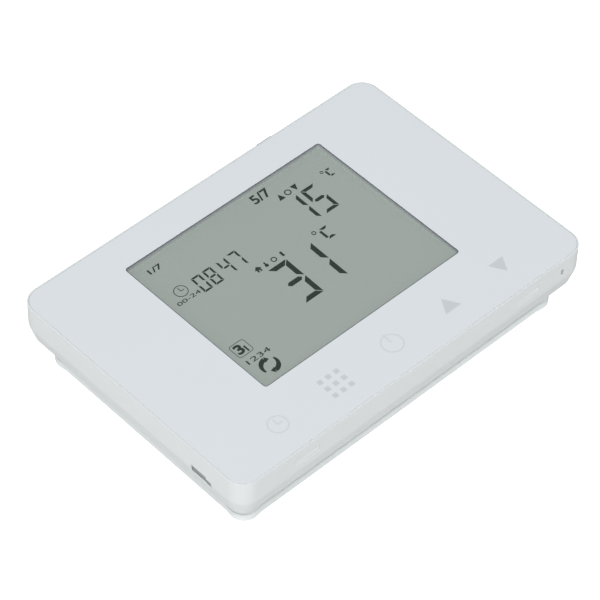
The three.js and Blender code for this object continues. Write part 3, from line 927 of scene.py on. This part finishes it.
def release_tab(low, high, name):
    """Button with a shallow finger groove, leg past the board, and the hook at the plate's rim."""
    fill = TAB_CLEARANCE - TAB_SEAM
    base = high.z - BUTTON_HEIGHT
    face_y = HOUSING_LOW.y + TAB_SUNK
    button = block(
        (low.x - fill, face_y, base - fill), (high.x + fill, BUTTON_BACK_Y, high.z + fill)
    )
    stem = block((low.x, -38.3 * MM, 12.3 * MM), (high.x, BUTTON_BACK_Y, base + 0.5 * MM))
    shelf = block((low.x, -38.2 * MM, 12.2 * MM), (high.x, -32.2 * MM, SHELF_TOP_Z))
    hook = block((low.x, -33.4 * MM, low.z), (high.x, -32.25 * MM, HOOK_TOP_Z))
    nose = block((low.x, -33.9 * MM, low.z + 0.01 * MM), (high.x, -33.0 * MM, 8.2 * MM))
    choose(nose, "VERT", lambda co: co.z > 8 * MM and co.y < -33.5 * MM)
    bpy.ops.transform.translate(value=(0, 0, -0.5 * MM))
    leave()
    tab = fuse(button, stem, shelf, hook, nose)
    tab.name = name
    grip = block(
        (low.x + 0.15 * MM, face_y - 0.02 * MM, base + 0.05 * MM),
        (high.x - 0.15 * MM, face_y + GRIP_DEPTH, high.z - 0.1 * MM),
    )
    for above, rise in ((True, -0.99 * MM), (False, 0.74 * MM)):
        choose(grip, "VERT", lambda co: co.y > face_y and (co.z > base + MM) == above)
        bpy.ops.transform.translate(value=(0, 0, rise))
        leave()
    cut(tab, grip)
    return crisp(tab, 0.05 * MM)


for (low, high), side in zip(TAB_BOXES, ("left", "right")):
    body = f"release_tab_{side}"
    dress(release_tab(low, high, f"tab_{side}"), HOUSING_WHITE, body, "housing_white", body)


# ---------------------------------------------------------------- wall plate

PAD_PROUD = 0.3 * MM
PAD_LENGTH = 4.6 * MM
PAD_RUN_OUT = 1.6 * MM
PLATE_SIDE_X = PLATE_HIGH.x - PAD_PROUD
PLATE_SIDE_Y = PLATE_HIGH.y - PAD_PROUD
PLATE_RIM_Z = 9.4 * MM
PLATE_CORNER = 4.0 * MM
HOLLOW_X = 52.5 * MM
HOLLOW_Y = 34.2 * MM
FLOOR_Z = 2 * MM
WALL_SLOT_X = 30 * MM
WALL_SLOT_Y = -2 * MM
SCREW_HOLES = ((-46, 28), (46, 28), (-46, -27), (46, -27))
HOOK_WINDOW_X = 38.6 * MM
TONGUE_X = 24 * MM
GROOVE_Z = (2.35 * MM, 2.9 * MM)
GROOVE_DEPTH = 0.5 * MM


def padded_outline():
    """Block whose corners stand proud of its sides, with a short run-out between."""
    outline = rounded_block(
        (-PLATE_SIDE_X, -PLATE_SIDE_Y, 0), (PLATE_SIDE_X, PLATE_SIDE_Y, PLATE_RIM_Z),
        PLATE_CORNER, "plate_tray", segments=12,
    )
    for axis, half in ((0, PLATE_SIDE_X), (1, PLATE_SIDE_Y)):
        for side in (-1, 1):
            for back in (PAD_LENGTH, PAD_LENGTH + PAD_RUN_OUT):
                choose(outline, "FACE", lambda centre, normal: True)
                spot = [0, 0, 0]
                spot[axis] = side * (half - back)
                normal = [0, 0, 0]
                normal[axis] = 1
                bpy.ops.mesh.bisect(plane_co=spot, plane_no=normal)
                leave()
    for sx in (-1, 1):
        for sy in (-1, 1):
            choose(outline, "VERT", lambda co: (
                sx * co.x > PLATE_SIDE_X - PAD_LENGTH - 1e-6
                and sy * co.y > PLATE_SIDE_Y - PAD_LENGTH - 1e-6
            ))
            bpy.ops.transform.translate(value=(sx * PAD_PROUD, sy * PAD_PROUD, 0))
            leave()
    for height in GROOVE_Z:
        choose(outline, "FACE", lambda centre, normal: True)
        bpy.ops.mesh.bisect(plane_co=(0, 0, height), plane_no=(0, 0, 1))
        leave()
    choose(outline, "FACE", lambda centre, normal: (
        abs(normal.z) < 0.1 and GROOVE_Z[0] < centre.z < GROOVE_Z[1]
    ))
    bpy.ops.mesh.extrude_region_shrink_fatten(
        MESH_OT_extrude_region={"use_normal_flip": False},
        TRANSFORM_OT_shrink_fatten={"value": -GROOVE_DEPTH, "use_even_offset": True},
    )
    leave()
    return outline


def slot_block(x, y, length, width, z0, z1):
    low = (x - length / 2, y - width / 2, z0)
    high = (x + length / 2, y + width / 2, z1)
    return rounded_block(low, high, width / 2 - 0.01 * MM, segments=8)


def plate():
    tray = padded_outline()
    cut(tray, rounded_block(
        (-HOLLOW_X, -HOLLOW_Y, FLOOR_Z), (HOLLOW_X, HOLLOW_Y, 20 * MM), 2.5 * MM, segments=8
    ))
    for x in (-WALL_SLOT_X, WALL_SLOT_X):
        fuse(tray, slot_block(x, WALL_SLOT_Y, 13 * MM, 9 * MM, 1.5 * MM, 2.6 * MM))
        cut(tray, slot_block(x, WALL_SLOT_Y, 8 * MM, 4 * MM, -MM, 4 * MM))
        cut(tray, slot_block(x, WALL_SLOT_Y, 10.6 * MM, 6.6 * MM, 1.9 * MM, 4 * MM))
    for x, y in SCREW_HOLES:
        spot = (x * MM, y * MM)
        fuse(tray, disc(spot, 4 * MM, 1.5 * MM, 3.2 * MM, 40))
        cut(tray, disc(spot, 2 * MM, -MM, 5 * MM, 32))
    fuse(tray, rounded_block(
        (-16.5 * MM, -18.8 * MM, 1.5 * MM), (16.5 * MM, -3.2 * MM, 3.2 * MM), 3.4 * MM, segments=6
    ))
    cut(tray, rounded_block(
        (-15 * MM, -17.3 * MM, -MM), (15 * MM, -4.7 * MM, 5 * MM), 2 * MM, segments=6
    ))
    for x in (-HOOK_WINDOW_X, HOOK_WINDOW_X):
        low = (x - 4.6 * MM, -37.5 * MM, 6.4 * MM)
        cut(tray, block(low, (x + 4.6 * MM, -33.5 * MM, 8.4 * MM)))
    for x in (-TONGUE_X, TONGUE_X):
        tongue = block((x - 3 * MM, 34.25 * MM, 9 * MM), (x + 3 * MM, 35.8 * MM, 11 * MM))
        fuse(tray, tongue)
    return crisp(tray, 0.18 * MM, angle=32)


dress(plate(), PLATE_WHITE, "wall_plate", "back_white", "wall_plate")
dress(
    softened("terminal_block", 0.15 * MM, "terminal_strip"),
    TERMINAL_GREY, "wall_plate", "terminal_grey", "terminal_block",
)
dress(
    softened("rear_cover", 0.15 * MM, "back_cover"),
    BACK_WHITE, "front_module", "back_white", "rear_cover",
)


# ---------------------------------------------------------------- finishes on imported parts

FINISHES = {
    "lcd_holder": BACK_WHITE, "backlight_panel": DIFFUSER, "contact_strip_upper": RUBBER,
    "contact_strip_lower": RUBBER, "main_board": CIRCUIT, "controller_chip": CHIP_BLACK,
    "storage_capacitor": ALUMINIUM, "temperature_sensor": SENSOR_BEAD, "reset_switch": CHIP_BLACK,
    "reset_plunger": TERMINAL_GREY, "contact_header": CHIP_BLACK,
}
ROWS = (
    ("relay", 3, RELAY_BLUE), ("board_screw", 4, STEEL), ("cover_screw", 4, STEEL),
    ("touch_spring", 5, STEEL), ("contact_blade", 6, BRASS), ("terminal_screw", 6, STEEL),
    ("clamp_plate", 6, BRASS),
)
for kind, count, finish in ROWS:
    for number in range(1, count + 1):
        FINISHES[f"{kind}_{number}"] = finish

for node, finish in FINISHES.items():
    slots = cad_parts[node].data.materials
    slots.clear()
    slots.append(finish)


# ---------------------------------------------------------------- stage, light and camera

def stage_floor():
    """Pale floor that reads as a white sweep to the camera and still throws back soft light."""
    deselect()
    bpy.ops.mesh.primitive_plane_add(size=6, location=(0, 0, 0))
    floor = bpy.context.object
    floor.name = "studio_floor"
    material, nodes, links, shader = surface("studio_floor", specular=0.0)
    skin = place_group(nodes, SKIN, Grain=40.0, Drift=2.0)
    blend_colours(
        nodes, links, skin.outputs["Cloud"], (0.76, 0.76, 0.76, 1), (0.74, 0.74, 0.74, 1),
        shader.inputs["Base Color"],
    )
    shader.inputs["Roughness"].default_value = 0.9
    seen = nodes.new("ShaderNodeLightPath")
    sweep = nodes.new("ShaderNodeMath")
    sweep.operation = "MULTIPLY"
    sweep.inputs[1].default_value = FLOOR_SWEEP
    links.new(seen.outputs["Is Camera Ray"], sweep.inputs[0])
    shader.inputs["Emission Color"].default_value = (1, 1, 1, 1)
    links.new(sweep.outputs["Value"], shader.inputs["Emission Strength"])
    floor.data.materials.append(material)
    floor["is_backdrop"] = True


def soft_light(name, place, size, power):
    """Round soft light aimed at the middle of the object's base."""
    lamp = bpy.data.lights.new(name, "AREA")
    lamp.shape = "DISK"
    lamp.size = size
    lamp.energy = power
    holder = bpy.data.objects.new(name, lamp)
    bpy.context.scene.collection.objects.link(holder)
    holder.location = place
    holder.rotation_euler = (-Vector(place)).to_track_quat("-Z", "Y").to_euler()


def around(azimuth, elevation, distance):
    """A place round the object: azimuth 0 is in front of its lower edge."""
    azimuth, elevation = math.radians(azimuth), math.radians(elevation)
    flat = distance * math.cos(elevation)
    return (math.sin(azimuth) * flat, -math.cos(azimuth) * flat, distance * math.sin(elevation))


FLOOR_SWEEP = 0.8
SKY_LIGHT = 0.40
SKY_SEEN = 1.3
KEY_POWER = 250.0
FILL_POWER = 26.0
CAMERA_AZIMUTH = -44.9
CAMERA_ELEVATION = 48.05
CAMERA_DISTANCE = 0.7461
CAMERA_ROLL = math.radians(2.03)


def studio():
    stage_floor()
    world = bpy.data.worlds.new("studio")
    world.use_nodes = True
    nodes, links = world.node_tree.nodes, world.node_tree.links
    backdrop = nodes["Background"]
    backdrop.inputs["Color"].default_value = (0.97, 0.985, 1.0, 1)
    seen = nodes.new("ShaderNodeLightPath")
    level = nodes.new("ShaderNodeMapRange")
    level.inputs["To Min"].default_value = SKY_LIGHT
    level.inputs["To Max"].default_value = SKY_SEEN
    links.new(seen.outputs["Is Camera Ray"], level.inputs["Value"])
    links.new(level.outputs["Result"], backdrop.inputs["Strength"])
    bpy.context.scene.world = world
    soft_light("key_softbox", around(-43, 55.5, 6.0), 1.2, KEY_POWER)
    soft_light("low_fill", around(-80, 14, 5.0), 2.4, FILL_POWER)
    bpy.context.scene.view_settings.view_transform = "Standard"


def studio_camera():
    target = Vector((-2.1 * MM, -7.7 * MM, FACE_Z))
    back = Vector(around(CAMERA_AZIMUTH, CAMERA_ELEVATION, 1.0))
    lens_data = bpy.data.cameras.new("studio_camera")
    lens_data.lens = 177.8
    lens_data.shift_x = -0.035
    lens_data.shift_y = -0.0135
    lens_data.clip_start = 0.05
    camera = bpy.data.objects.new("studio_camera", lens_data)
    bpy.context.scene.collection.objects.link(camera)
    camera.location = target + back * CAMERA_DISTANCE
    camera.rotation_mode = "QUATERNION"
    roll = Quaternion((0, 0, 1), CAMERA_ROLL)
    camera.rotation_quaternion = (-back).to_track_quat("-Z", "Y") @ roll
    bpy.context.scene.camera = camera


studio()
studio_camera()

low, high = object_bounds()
{"cad": [list(cad_low), list(cad_high)], "visual": [list(low), list(high)]}
